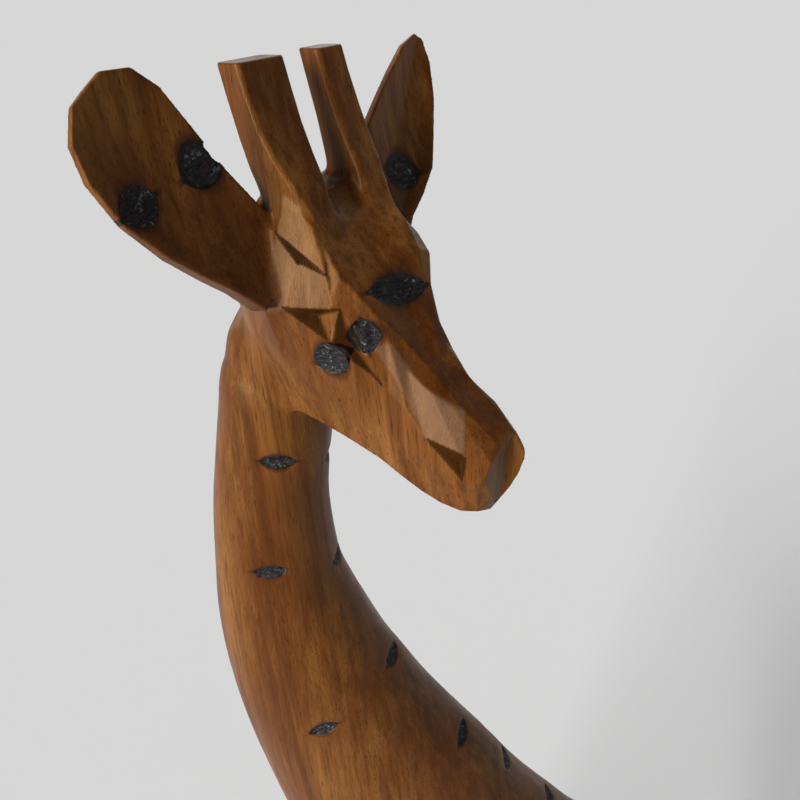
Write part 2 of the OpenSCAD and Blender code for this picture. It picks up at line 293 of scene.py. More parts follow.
def joined(parts):
    """Several meshes' corners and faces as one."""
    corners, faces, start = [], [], 0
    for c, f in parts:
        corners.append(c)
        faces.append(f + start)
        start += len(c)
    return np.concatenate(corners), np.concatenate(faces)


# ---------------- distance fields


class Field:
    """Distance to a surface on a box of voxels, negative inside."""

    def __init__(self, low, high, voxel):
        self.voxel = voxel
        self.start = np.floor(np.array(low) / voxel).astype(int)
        self.shape = tuple(np.ceil(np.array(high) / voxel).astype(int) - self.start + 1)
        self.grid = None

    def distance_to(self, corners, faces, band):
        """Signed distance to a closed mesh, kept to within band of its surface."""
        grid = vdb.FloatGrid.createLevelSetFromPolygons(
            np.ascontiguousarray(corners, np.float32),
            triangles=np.ascontiguousarray(faces, np.uint32),
            transform=vdb.createLinearTransform(self.voxel),
            halfWidth=band / self.voxel,
        )
        values = np.empty(self.shape, np.float32)
        grid.copyToArray(values, ijk=tuple(int(i) for i in self.start))
        return values

    def axis(self, k):
        """Coordinates of the voxels along an axis, shaped to broadcast over the box."""
        shape = [1, 1, 1]
        shape[k] = -1
        line = (self.start[k] + np.arange(self.shape[k])) * self.voxel
        return line.astype(np.float32).reshape(shape)

    def along(self, origin, way):
        """Distance of every voxel from a plane through origin, square to way."""
        return sum((self.axis(k) - np.float32(origin[k])) * np.float32(way[k]) for k in range(3))

    def window(self, low, high):
        """Slices of the box between two corners."""
        first = np.floor(np.array(low) / self.voxel).astype(int) - self.start
        last = np.ceil(np.array(high) / self.voxel).astype(int) + 1 - self.start
        ends = zip(np.clip(first, 0, self.shape), np.clip(last, 0, self.shape))
        return tuple(slice(int(i), int(j)) for i, j in ends)

    def part(self, low, high):
        """A smaller field on the voxels between two corners, sharing this one's grid."""
        cut = self.window(low, high)
        small = Field.__new__(Field)
        small.voxel = self.voxel
        small.start = self.start + [c.start for c in cut]
        small.shape = tuple(c.stop - c.start for c in cut)
        small.grid = self.grid[cut]
        return small

    def sample(self, points):
        """Distance at points between the voxels."""
        place = points / self.voxel - self.start
        place = np.clip(place, 0, np.array(self.shape) - 1.001)
        low = place.astype(int)
        t = (place - low).astype(np.float32)
        total = 0
        for i in (0, 1):
            for j in (0, 1):
                for k in (0, 1):
                    weight = (
                        (t[:, 0] if i else 1 - t[:, 0])
                        * (t[:, 1] if j else 1 - t[:, 1])
                        * (t[:, 2] if k else 1 - t[:, 2])
                    )
                    total = total + weight * self.grid[low[:, 0] + i, low[:, 1] + j, low[:, 2] + k]
        return total

    def slope(self, points, reach):
        """Unit normals of the surface at points."""
        normals = np.empty((len(points), 3), np.float32)
        for k in range(3):
            step = np.zeros(3)
            step[k] = reach
            normals[:, k] = self.sample(points + step) - self.sample(points - step)
        return normals / np.maximum(np.linalg.norm(normals, axis=1, keepdims=True), 1e-9)

    def surface(self):
        """Corners and four-sided faces of the zero surface."""
        far = 3 * self.voxel
        grid = vdb.FloatGrid(far)
        grid.copyFromArray(
            np.clip(self.grid, -far, far),
            ijk=tuple(int(i) for i in self.start),
            tolerance=0,
        )
        grid.transform = vdb.createLinearTransform(self.voxel)
        corners, faces = grid.convertToQuads(0)
        return np.array(corners, float), np.array(faces, np.int64)


def blur(values, sigma):
    """Gaussian blur of a box of voxels, sigma in voxels, its ends mirrored."""
    reach = int(math.ceil(2.5 * sigma))
    weights = np.exp(-0.5 * (np.arange(-reach, reach + 1) / sigma) ** 2)
    weights = (weights / weights.sum()).astype(np.float32)
    for axis in range(3):
        pad = [(0, 0)] * 3
        pad[axis] = (reach, reach)
        wide = np.pad(values, pad, mode="reflect")
        n = values.shape[axis]
        out = np.zeros_like(values)
        cut = [slice(None)] * 3
        for i, w in enumerate(weights):
            cut[axis] = slice(i, i + n)
            out += w * wide[tuple(cut)]
        values = out
    return values


def soft_join(a, b, k):
    """Union of two fields with a fillet of about k."""
    h = np.clip(k - np.abs(a - b), 0, None) / np.float32(k)
    return np.minimum(a, b) - h * h * np.float32(k / 4)


# ---------------- scorched marks, from the CAD's


def islands(name):
    """The separate solids of a CAD node, as arrays of corners."""
    corners, faces = node_mesh(name)
    _, same = np.unique(np.round(corners, 2), axis=0, return_inverse=True)
    group = same.reshape(-1).copy()
    corner_group = group[faces]
    while True:
        least = corner_group.min(1)
        best = np.arange(group.max() + 1)
        np.minimum.at(best, corner_group.ravel(), np.repeat(least, 3))
        new = best[corner_group]
        if (new == corner_group).all():
            break
        corner_group = new
    return [
        np.unique(corners[faces[(corner_group[:, 0] == g)].ravel()], axis=0)
        for g in np.unique(corner_group[:, 0])
    ]


# The blots burn wider than the cut they sit in: {(kind, number): (length, width)}
BLOT_SIZE = {
    ("face", 0): (15.5, 11.5), ("face", 1): (12, 10.5), ("face", 2): (26, 10),
    ("face", 3): (15.5, 11.5), ("face", 4): (12, 10.5),
    ("ear", 0): (18, 13), ("ear", 1): (15.5, 14), ("ear", 2): (15.5, 12),
}
# Degrees that a blot is turned from its cut's direction
BLOT_TURN = {("face", 2): -12, ("face", 3): 20, ("face", 0): -20}
# How full a mark's outline is: a lower power is blunter
FULLNESS = {"leaf": 0.8, "ear": 0.75, "face": 0.72}
LONG_BLOT_FULLNESS = 0.85
# Least half width that a mark is measured by, as a share of its widest, and how blunt its tips are
LEAST_WIDTH = 0.12
BLUNTNESS = 1.5


class Mark:
    """A leaf-shaped scorched mark: its place, way out of the wood, way along, and size."""

    def __init__(self, corners, number, kind):
        self.place = (corners.min(0) + corners.max(0)) / 2
        _, ways = np.linalg.eigh(np.cov((corners - self.place).T))
        self.out, self.along = ways[:, 0], ways[:, 2]
        size = [np.ptp(corners @ ways[:, k]) for k in range(3)]
        self.length, self.width = size[2], size[1]
        self.number, self.kind = number, kind
        self.length, self.width = BLOT_SIZE.get((kind, number), (self.length, self.width))

    def settle(self, field):
        """Turns the mark to the wood's surface in the field."""
        p = self.place[None]
        for _ in range(6):
            n = field.slope(p, 1.5)
            p = p - field.sample(p)[:, None] * n
        self.place = p[0].astype(float)
        n = n[0].astype(float)
        self.out = n
        self.along -= n * (self.along @ n)
        self.along /= np.linalg.norm(self.along)
        turn = math.radians(BLOT_TURN.get((self.kind, self.number), 0))
        self.along = self.along * math.cos(turn) + np.cross(n, self.along) * math.sin(turn)
        if self.along[0] + 0.3 * self.along[1] < 0:
            self.along = -self.along
        self.across = np.cross(self.out, self.along)

    def outline(self, u):
        """Half width of the mark at u, from -1 at its left tip to 1 at its right tip."""
        power = FULLNESS[self.kind]
        if (self.kind, self.number) == ("face", 2):
            power = LONG_BLOT_FULLNESS
        return np.clip(1 - u * u, 0, 1) ** power

    def ratio(self, u, v):
        """0 in the middle of the mark, 1 on its outline, from places along and across it."""
        inside = np.abs(v) / np.maximum(self.outline(u), LEAST_WIDTH)
        return np.maximum(inside, np.abs(u) ** BLUNTNESS)

    def reach(self, points):
        """The ratio at points, or a large number where they are off the mark's face."""
        away = points - self.place
        u = away @ self.along / (self.length / 2)
        v = away @ self.across / (self.width / 2)
        off = away @ self.out
        return np.where(np.abs(off) < 6, self.ratio(u, v), 9.0)


leg_names = ["leg_front_left", "leg_front_right", "leg_rear_left", "leg_rear_right"]
trunk_mark_nodes = ["burn_marks_neck", "burn_marks_torso", "burn_marks_legs"]
mark_nodes = {"burn_marks_head": "face", "burn_marks_ears": "ear"}
mark_nodes.update({name: "leaf" for name in trunk_mark_nodes})
marks = {
    name: [Mark(c, i, kind) for i, c in enumerate(islands(name))]
    for name, kind in mark_nodes.items()
}

# ---------------- cuts of the knife

# Room around a cut in the part of the field that it changes
CUT_MARGIN = 3


def cut_planes(corners):
    """Planes around the convex solid with these corners, as points and ways out."""
    corners = np.asarray(corners, float)
    middle = corners.mean(0)
    planes = []
    n = len(corners)
    for i in range(n):
        for j in range(i + 1, n):
            for k in range(j + 1, n):
                way = np.cross(corners[j] - corners[i], corners[k] - corners[i])
                size = np.linalg.norm(way)
                if size < 1e-6:
                    continue
                way /= size
                if (middle - corners[i]) @ way > 0:
                    way = -way
                if ((corners - corners[i]) @ way).max() < 1e-6:
                    planes.append((corners[i], way))
    return planes


def cut_solid(field, corners):
    """Takes the convex solid with these corners out of the field."""
    corners = np.asarray(corners, float)
    small = field.part(corners.min(0) - CUT_MARGIN, corners.max(0) + CUT_MARGIN)
    inside = np.max([small.along(point, way) for point, way in cut_planes(corners)], axis=0)
    np.maximum(small.grid, -inside, out=small.grid)


def sink_marks(field, group, depth):
    """Hollows the wood to a shallow bowl at each mark."""
    for mark in group:
        half = mark.length / 2 + CUT_MARGIN
        small = field.part(mark.place - half, mark.place + half)
        u = small.along(mark.place, mark.along) / (mark.length / 2)
        v = small.along(mark.place, mark.across) / (mark.width / 2)
        off = small.along(mark.place, mark.out)
        r = mark.ratio(u, v)
        bowl = depth * np.clip((1 - r * r) * 1.8, 0, 1)
        face = np.clip((off + depth + 1.2) / 0.6, 0, 1) * (off < 7)
        small.grid += (bowl * face).astype(np.float32)


# ---------------- the trunk's field

TRUNK_VOXEL = 1.2
HEAD_VOXEL = 0.5
MARK_DEPTH = 1.2
EAR_MARK_DEPTH = 0.8
# Where the head's field takes over from the trunk's, and how far the throat reaches below that
SEAM_Z = HORN_TOP - 162
THROAT_OVERLAP = 24.3
# Distances are kept to within BAND of a surface, and a field's box has MARGIN around the wood
BAND = 6.0
HORN_BAND = 8.0
MARGIN = 6
# How far the tool marks are worn smooth
TRUNK_BLUR = 2.0
HEAD_BLUR = 0.25
THROAT_FILLET = 5.0
EAR_FILLET = 3.0
HORN_FILLET = 5.0
# Voxels added under the soles, so that the trunk is cut flat there
BELOW_SOLE = 3
TRUNK_TOP = COLLAR_TOP + 8
trunk_nodes = ["torso", "neck", "tail"] + leg_names

trunk = Field(
    [statue_low[0] - MARGIN, statue_low[1] - MARGIN, SOLE_Z],
    [statue_high[0] + MARGIN, statue_high[1] + MARGIN, TRUNK_TOP],
    TRUNK_VOXEL,
)
solid = joined([node_mesh(n) for n in trunk_nodes + trunk_mark_nodes] + [collar_solid()])
trunk.grid = blur(trunk.distance_to(*solid, BAND), TRUNK_BLUR / TRUNK_VOXEL)
trunk.start = trunk.start - [0, 0, BELOW_SOLE]
trunk.shape = trunk.shape[:2] + (trunk.shape[2] + BELOW_SOLE,)
trunk.grid = np.pad(trunk.grid, [(0, 0), (0, 0), (BELOW_SOLE, 0)], mode="edge")
trunk.grid = np.maximum(trunk.grid, SOLE_Z + 0.01 - trunk.axis(2))
for name in trunk_mark_nodes:
    for mark in marks[name]:
        mark.settle(trunk)
for name in trunk_mark_nodes:
    sink_marks(trunk, marks[name], MARK_DEPTH)
trunk_mesh = trunk.surface()

# ---------------- the head's field

head_low, head_high = node_box("head", "ear_left", "ear_right", "horn_left", "horn_right")
head = Field(
    [head_low[0] - MARGIN, head_low[1] - MARGIN, SEAM_Z - 10],
    [head_high[0] + MARGIN + 3, head_high[1] + MARGIN, head_high[2] + MARGIN],
    HEAD_VOXEL,
)
top = trunk.part(
    [head_low[0] - MARGIN, head_low[1] - MARGIN, SEAM_Z - THROAT_OVERLAP - MARGIN],
    [head_high[0] + MARGIN, head_high[1] + MARGIN, TRUNK_TOP],
)
top.grid = np.maximum(top.grid, SEAM_Z - THROAT_OVERLAP - top.axis(2))
corners, faces = top.surface()
throat = head.distance_to(corners, np.concatenate([faces[:, :3], faces[:, [0, 2, 3]]]), BAND)
head.grid = soft_join(throat, head.distance_to(*head_solid(), BAND), THROAT_FILLET)
for rows, side in ((RIGHT_EAR, -1), (LEFT_EAR, 1)):
    ear = head.distance_to(*ear_solid(rows, side), BAND)
    head.grid = soft_join(head.grid, ear, EAR_FILLET)
for rows in (RIGHT_HORN, LEFT_HORN):
    horn = np.maximum(head.distance_to(*horn_solid(rows), HORN_BAND), head.axis(2) - HORN_TOP)
    head.grid = soft_join(head.grid, horn, HORN_FILLET)
head.grid = blur(head.grid, HEAD_BLUR / HEAD_VOXEL)
for name in ("burn_marks_head", "burn_marks_ears"):
    for mark in marks[name]:
        mark.settle(head)
sink_marks(head, marks["burn_marks_head"], MARK_DEPTH)
sink_marks(head, marks["burn_marks_ears"], EAR_MARK_DEPTH)

# Notches of the knife in head axes: corners on the wood, then the deepest point, then the two
# corners of the wall that faces the light and so gets no painted shade
FACE_CUTS = [
    ([(22.7, -30.2, -8.6), (38.9, -22.3, -3.3), (39.8, -25, -15.3), (31.4, -23.1, -8.9)], (1, 2)),
    ([(39.9, -21.8, -3.7), (40.7, -24.5, -14.9), (56.4, -18.1, -23.1), (43.8, -19.9, -14.3)],
     (0, 2)),
    ([(79.7, -15.2, -35.4), (92.7, -12.2, -35.7), (94, -13.4, -43.2), (91.3, -11.3, -39.2)], ()),
    ([(10.5, -25.3, 12.2), (34.5, -21.6, 4.9), (21.5, -25.2, 5.6), (21.6, -21.4, 7.9)], ()),
]
MOUTH_CUT = [(106, -7, -57), (106, -5, -54.2), (106, 9, -55.4), (106, 9, -53), (99.5, 2, -55.3)]
# How far a notch's corners are moved out past the wood, and the most that this adds to its size
PROUD = 1.5
MOST_GROWTH = 0.5


def lifted(cut, flip):
    """A notch's corners in the CAD frame, all but the deepest moved out past the wood."""
    p = np.array(cut, float) * (1, flip, 1)
    way = np.cross(p[1] - p[0], p[2] - p[0])
    way /= np.linalg.norm(way)
    grow = 1 + min(PROUD / abs((p[0] - p[-1]) @ way), MOST_GROWTH)
    return from_head(np.concatenate([p[-1] + (p[:-1] - p[-1]) * grow, p[-1:]]))


# Walls of a notch that face away from the light get painted shade: a darker colour and less gloss
notches, shaded_walls = [], []
for cut, lit_wall in FACE_CUTS:
    for flip in (1, -1):
        notch = lifted(cut, flip)
        notches.append(cut_planes(notch))
        for wall in ((0, 1), (1, 2), (0, 2)):
            if wall != lit_wall:
                lid = np.array(cut[:3]) * (1, flip, 1)
                shaded_walls.append((len(notches) - 1, notch[[wall[0], wall[1], 3]], from_head(lid)))
        cut_solid(head, notch)
cut_solid(head, from_head(MOUTH_CUT))
head_mesh = head.surface()

# ---------------- pieces out of the surfaces


def placed(name, data):
    """A new object in the scene."""
    obj = bpy.data.objects.new(name, data)
    bpy.context.scene.collection.objects.link(obj)
    return obj


def write_mesh(name, corners, faces, normals, caps):
    """A Blender mesh in metres, with the surface's own normals and flat caps."""
    mesh = bpy.data.meshes.new(name)
    mesh.from_pydata((corners * MM).tolist(), [], faces.tolist() + caps)
    mesh.polygons.foreach_set("use_smooth", np.ones(len(mesh.polygons), bool))
    loops = np.zeros(len(mesh.loops), np.int32)
    mesh.loops.foreach_get("vertex_index", loops)
    split = normals[loops].astype(np.float32)
    start = faces.size
    for cap in caps:
        ring = corners[cap] - corners[cap].mean(0)
        around = np.cross(ring, np.roll(ring, -1, 0)).sum(0)
        split[start:start + len(cap)] = around / np.linalg.norm(around)
        start += len(cap)
    mesh.normals_split_custom_set(split)
    return placed(name, mesh)


def rims(faces):
    """Closed chains of corners around the open edges of a surface, wound to close it."""
    edges = np.concatenate([faces[:, [i, (i + 1) % 4]] for i in range(4)])
    key = np.sort(edges, axis=1)
    _, first, count = np.unique(key, axis=0, return_index=True, return_counts=True)
    open_edges = edges[first[count == 1]]
    follow = {}
    for a, b in open_edges:
        follow.setdefault(int(b), []).append(int(a))
    chains = []
    while follow:
        start = next(iter(follow))
        chain, here = [], start
        while True:
            chain.append(here)
            nexts = follow[here]
            here = nexts.pop()
            if not nexts:
                del follow[chain[-1]]
            if here == start:
                break
        chains.append(chain)
    return chains


# Keeps a rim from sliding far where the wood runs nearly along the plane
LEAST_SLANT = 0.15


def level(height):
    """A level plane, as a point and a way."""
    return np.array([0, 0, height]), np.array([0, 0, 1.0])


def make_pieces(field, surface, labels, planes, reach):
    """Splits a surface into pieces by the label of each face, with flat closed ends.

    planes gives the plane, as a point and a way, between two labels."""
    corners, faces = surface
    corners = corners.copy()
    for (a, b), (point, way) in planes.items():
        on_a = np.zeros(len(corners), bool)
        on_b = np.zeros(len(corners), bool)
        on_a[faces[labels == a].ravel()] = True
        on_b[faces[labels == b].ravel()] = True
        rim = np.nonzero(on_a & on_b)[0]
        if not len(rim):
            continue
        for _ in range(3):
            n = field.slope(corners[rim], reach).astype(float)
            tangent = way - n * (n @ way)[:, None]
            size = np.maximum((tangent * tangent).sum(1), LEAST_SLANT)
            off = (corners[rim] - point) @ way
            corners[rim] -= tangent * (off / size)[:, None]
            corners[rim] -= n * field.sample(corners[rim])[:, None].astype(float)
        corners[rim] -= np.outer((corners[rim] - point) @ way, way)
    normals = field.slope(corners, reach)
    pieces = {}
    for name in sorted(set(labels) - {""}):
        own = faces[labels == name]
        used, index = np.unique(own, return_inverse=True)
        own = index.reshape(-1, 4)
        pieces[name] = write_mesh(name + "_wood", corners[used], own, normals[used], rims(own))
    return pieces


def turned_out(faces, corners, field):
    """Faces wound so that they face out of the wood."""
    some = faces[:: max(1, len(faces) // 500)]
    a, b, c = corners[some[:, 0]], corners[some[:, 1]], corners[some[:, 2]]
    way = np.cross(b - a, c - a)
    n = field.slope(a, field.voxel)
    return faces if (way * n).sum() > 0 else faces[:, ::-1]


trunk_mesh = (trunk_mesh[0], turned_out(trunk_mesh[1], trunk_mesh[0], trunk))
head_mesh = (head_mesh[0], turned_out(head_mesh[1], head_mesh[0], head))

# Planes between the trunk's pieces: leg tops, the neck's slanted foot and a level between the legs
leg_top = node_box("leg_front_left")[1][2]
neck_foot = np.array([MID_X, node_box("torso")[0][1], neck_low[2]])
neck_way = np.array([0, -0.732, 0.681])
rear = node_box("leg_rear_left")[0][1] - 40
tail_front = node_box("tail")[0][1] - 4
TAIL_HALF = 9
FAR = 1e3
corners, faces = trunk_mesh
centre = corners[faces].mean(1)
labels = np.where((centre - neck_foot) @ neck_way > 0, "neck", "torso")
labels = np.where(centre[:, 2] < leg_top, "leg", labels)
tail_here = (np.abs(centre[:, 0] - MID_X) < TAIL_HALF) & (centre[:, 1] > tail_front)
for ends, low_y, high_y in (("front", -FAR, rear), ("rear", rear, FAR)):
    for side, low_x, high_x in (("right", -FAR, MID_X), ("left", MID_X, FAR)):
        here = (labels == "leg") & (centre[:, 1] > low_y) & (centre[:, 1] <= high_y)
        here &= (centre[:, 0] > low_x) & (centre[:, 0] <= high_x)
        labels = np.where(here & ~tail_here, f"leg_{ends}_{side}", labels)
labels = np.where(labels == "leg", "torso", labels)
labels = np.where(centre[:, 2] > SEAM_Z, "", labels)
planes = {("neck", "torso"): (neck_foot, neck_way), ("neck", ""): level(SEAM_Z)}
for name in leg_names:
    planes[(name, "torso")] = level(leg_top)
pieces = make_pieces(trunk, trunk_mesh, labels, planes, 1.0)

corners, faces = head_mesh
centre = corners[faces].mean(1)
in_head = to_head(centre)
labels = np.full(len(faces), "head", dtype="<U12")
planes = {("head", ""): level(SEAM_Z)}
# A horn starts HORN_CUT up from its foot, an ear EAR_CUT along from its root and EAR_SIDE out
HORN_CUT = 15
EAR_CUT = 10
EAR_SIDE = 26
sideways = in_head[:, 1]
horn_up = np.array([-math.sin(HORN_LEAN), 0, math.cos(HORN_LEAN)])
horn_base = np.array([HORN_FOOT[0], 0, HORN_FOOT[1]]) + HORN_CUT * horn_up
above = (in_head - horn_base) @ horn_up > 0
for name, low_side, high_side in (("horn_right", -29, -1), ("horn_left", 6, 29)):
    labels = np.where(above & (sideways > low_side) & (sideways < high_side), name, labels)
    planes[("head", name)] = (from_head(horn_base), horn_up @ HEAD_AXES)
for name, side in (("ear_right", -1), ("ear_left", 1)):
    root, along = ear_frame(side)[:2]
    here = ((centre - root) @ along > EAR_CUT) & (sideways * side > EAR_SIDE) & (labels == "head")
    labels = np.where(here, name, labels)
    planes[("head", name)] = (root + EAR_CUT * along, along)
labels = np.where(centre[:, 2] < SEAM_Z, "", labels)
pieces.update(make_pieces(head, head_mesh, labels, planes, 0.5))

# ---------------- the scorched marks' own pieces

# Half width of a charred lens at its tips, as a share of its widest
TIP_WIDTH = 0.04
LENS_STEP = 0.4
# How far a lens's outline wanders, as a share of its width
WANDER = {"leaf": 0.08, "ear": 0.2, "face": 0.2}
OUTLINE_SEED, CRACK_SEED, CRUMB_SEED = 11, 23, 31


def ripple(points, scale, seed):
    """Smooth noise from -1 to 1, made of a few waves."""
    draw = np.random.default_rng(seed)
    total = np.zeros(len(points))
    for octave in range(5):
        way = draw.normal(size=3)
        way /= np.linalg.norm(way)
        total += np.sin(points @ way * scale * 1.7**octave + draw.uniform(0, 6.3)) / 1.5**octave
    return total / 2.2


def room_beside(mark, u, half):
    """Share of the half width at u that stays clear of the notches."""
    share = np.ones(len(u))
    if mark.kind != "face":
        return share
    for t in np.linspace(1, 0.1, 24):
        p = mark.place + np.outer(u * mark.length / 2, mark.along)
        p += np.outer(half * t * mark.width / 2, mark.across)
        for planes in notches:
            inside = np.max([(p - point) @ way for point, way in planes], axis=0)
            share = np.where(inside < 0.2, np.minimum(share, t * 0.9), share)
    return share


def mark_solid(mark, field, depth):
    """A thin charred lens that fills the bowl, cracked and raised along the grain."""
    nu = max(12, int(mark.length / LENS_STEP))
    nv = max(8, int(mark.width / LENS_STEP))
    u = np.linspace(-1, 1, nu + 1)[:, None] + np.zeros((1, nv + 1))
    v = np.linspace(-1, 1, nv + 1)[None, :] + np.zeros((nu + 1, 1))
    u, v = u.ravel(), v.ravel()
    edge = np.stack([u * mark.length * 0.4, np.sign(v) * 3 + mark.number, v * 0], axis=1)
    wave = WANDER[mark.kind] * ripple(edge, 1.3, OUTLINE_SEED + mark.number)
    half = np.maximum(mark.outline(u), TIP_WIDTH) * (1 + wave)
    half *= room_beside(mark, u, half * np.where(v < 0, -1, 1))
    base = (
        mark.place
        + np.outer(u * mark.length / 2, mark.along)
        + np.outer(v * half * mark.width / 2, mark.across)
    )
    p = base.copy()
    for _ in range(8):
        n = field.slope(p, 0.6).astype(float)
        d = field.sample(p).astype(float)
        steep = n @ mark.out
        way = np.where((steep > 0.45)[:, None], mark.out / np.maximum(steep, 0.45)[:, None], n)
        p -= np.clip(d, -1.5, 1.5)[:, None] * way
    r = np.maximum(np.abs(v), np.abs(u) ** 2.2)
    inner = np.clip(1 - r**4, 0, 1)
    grain = np.stack([p @ mark.along * 0.3, p @ mark.across * 2.2, p @ mark.out], axis=1)
    cracks = np.clip(ripple(grain, 1.6, CRACK_SEED + mark.number), -1, 1)
    crumbs = ripple(p, 2.3, CRUMB_SEED + mark.number)
    height = 0.05 + inner * (0.3 + 0.5 * cracks + 0.25 * crumbs) * (depth / MARK_DEPTH)
    top = p + height[:, None] * mark.out
    bottom = p - (0.25 + 0.55 * depth * inner)[:, None] * mark.out
    n = len(top)
    rows = nv + 1
    faces = []
    for i in range(nu):
        for j in range(nv):
            a = i * rows + j
            faces.append((a, a + rows, a + rows + 1, a + 1))
            faces.append((a + n, a + 1 + n, a + rows + 1 + n, a + rows + n))
    for i in range(nu):
        a, b = i * rows, i * rows + nv
        faces.append((a, a + n, a + rows + n, a + rows))
        faces.append((b, b + rows, b + rows + n, b + n))
    for j in range(nv):
        a, b = j, nu * rows + j
        faces.append((a, a + 1, a + 1 + n, a + n))
        faces.append((b, b + n, b + 1 + n, b + 1))
    return np.concatenate([top, bottom]), np.array(faces)


def mark_piece(name, field, depth):
    """The charred lenses of one CAD node, as one object."""
    corners, faces = joined([mark_solid(mark, field, depth) for mark in marks[name]])
    mesh = bpy.data.meshes.new(name + "_char")
    mesh.from_pydata((corners * MM).tolist(), [], faces.tolist())
    mesh.validate()
    mesh.polygons.foreach_set("use_smooth", np.ones(len(mesh.polygons), bool))
    return placed(name + "_char", mesh)


char_pieces = {}
for name in mark_nodes:
    field = trunk if name in trunk_mark_nodes else head
    depth = EAR_MARK_DEPTH if name == "burn_marks_ears" else MARK_DEPTH
    char_pieces[name] = mark_piece(name, field, depth)

# ---------------- masks painted on the wood

# Facets left dry and rasped from the knife, also painted lighter and greyer as a painted sheen, as
# corners in head axes and how dry they are, which also sets how strong the painted sheen is:
# beside the ear, the long hollow facet of the muzzle, and the flake at the foot of the horn
RASPED_SHEEN_FACETS = [
    (0.2, [(11.5, -25, 12), (32, -21.5, 5.8), (36.5, -24, -3.2), (17.5, -33, -12.5)]),
    (0.55, [(51, -17, -12), (56, -12.6, -11), (69, -11.2, -20.5), (84, -5, -24.5),
            (91.5, -12.2, -34.5), (79, -15.5, -35), (70, -16, -27)]),
    (0.03, [(9.9, -21.5, 20.9), (15.5, -20.1, 19.6), (21.1, -18.2, 17.1), (29.9, -18.7, 9.3),
           (33.6, -19.3, 6.3), (26.6, -21.2, 9.3), (19.6, -22.2, 11.9)]),
]


# Wood this far off a facet's plane still counts as the facet
FACET_REACH = 4
# How far the scorching spreads around a mark, as a share of its size, and how dark the painted
# shade on the notches' walls is
LEAF_SCORCH = 1.9
BLOT_SCORCH = 1.7
WALL_SHADE = 0.85


def polygon_distance(points, corners):
    """Distance of points from a polygon's edge in its own plane: negative inside."""
    c = np.asarray(corners, float)
    middle = c.mean(0)
    _, _, ways = np.linalg.svd(c - middle)
    flat = (points - middle) @ ways[:2].T
    ring = (c - middle) @ ways[:2].T
    off = np.abs((points - middle) @ ways[2])
    best = np.full(len(points), 1e9)
    inside = np.zeros(len(points), bool)
    for a, b in zip(ring, np.roll(ring, -1, 0)):
        e = b - a
        t = np.clip(((flat - a) @ e) / (e @ e), 0, 1)
        best = np.minimum(best, np.linalg.norm(flat - a - t[:, None] * e, axis=1))
        cross = (a[1] > flat[:, 1]) != (b[1] > flat[:, 1])
        x = (b[0] - a[0]) * (flat[:, 1] - a[1]) / (b[1] - a[1] + 1e-12) + a[0]
        inside ^= cross & (flat[:, 0] < x)
    return np.where(inside, -best, best) + np.clip(off - FACET_REACH, 0, None)


def paint(obj, name, values):
    """Writes a mask from 0 to 1 on an object's corners."""
    layer = obj.data.attributes.new(name, "FLOAT", "POINT")
    layer.data.foreach_set("value", np.clip(values, 0, 1).astype(np.float32))


def corners_of(obj):
    """An object's corners, in millimetres."""
    flat = np.zeros(len(obj.data.vertices) * 3)
    obj.data.vertices.foreach_get("co", flat)
    return flat.reshape(-1, 3) / MM


for name, obj in pieces.items():
    p = corners_of(obj)
    scorch = np.zeros(len(p))
    for group in marks.values():
        for mark in group:
            near = np.nonzero(np.linalg.norm(p - mark.place, axis=1) < mark.length)[0]
            if not len(near):
                continue
            r = mark.reach(p[near])
            wide = LEAF_SCORCH if mark.kind == "leaf" else BLOT_SCORCH
            scorch[near] = np.maximum(scorch[near], np.clip((wide - r) / (wide - 1), 0, 1))
    paint(obj, "scorch", scorch)
    # Rasped facets: rougher, fuzzier wood, and also painted lighter and greyer as a painted sheen
    rough = np.zeros(len(p))
    if name in ("head", "ear_right", "ear_left"):
        local = to_head(p)
        for side in (1, -1):
            for dry_sheen, facet in RASPED_SHEEN_FACETS:
                away = polygon_distance(local * (1, side, 1), facet)
                rough = np.maximum(rough, dry_sheen * np.clip(0.5 - away, 0, 1))
    paint(obj, "rasp_and_sheen", rough)
    # Painted shade on the notches' walls that face away from the light and along their deepest
    # creases
    painted_shade = np.zeros(len(p))
    if name == "head":
        for number, wall, lid in shaded_walls:
            out = np.cross(lid[1] - lid[0], lid[2] - lid[0])
            out *= np.sign((lid[0] - wall[2]) @ out) / np.linalg.norm(out)
            away = np.sort([(p - point) @ way for point, way in notches[number]], axis=0)
            way = np.cross(wall[1] - wall[0], wall[2] - wall[0])
            off = np.abs((p - wall[2]) @ way) / np.linalg.norm(way)
            here = (np.abs(away[-1]) < 0.3) & ((p - lid[0]) @ out < 0.8)
            on_wall = np.clip(1.6 - off / 0.35, 0, 1) * here
            crease = np.clip(1 + away[-2] / 0.9, 0, 1) * here
            painted_shade = np.maximum(painted_shade, np.maximum(WALL_SHADE * on_wall, crease))
    paint(obj, "painted_shade", painted_shade)

# ---------------- materials


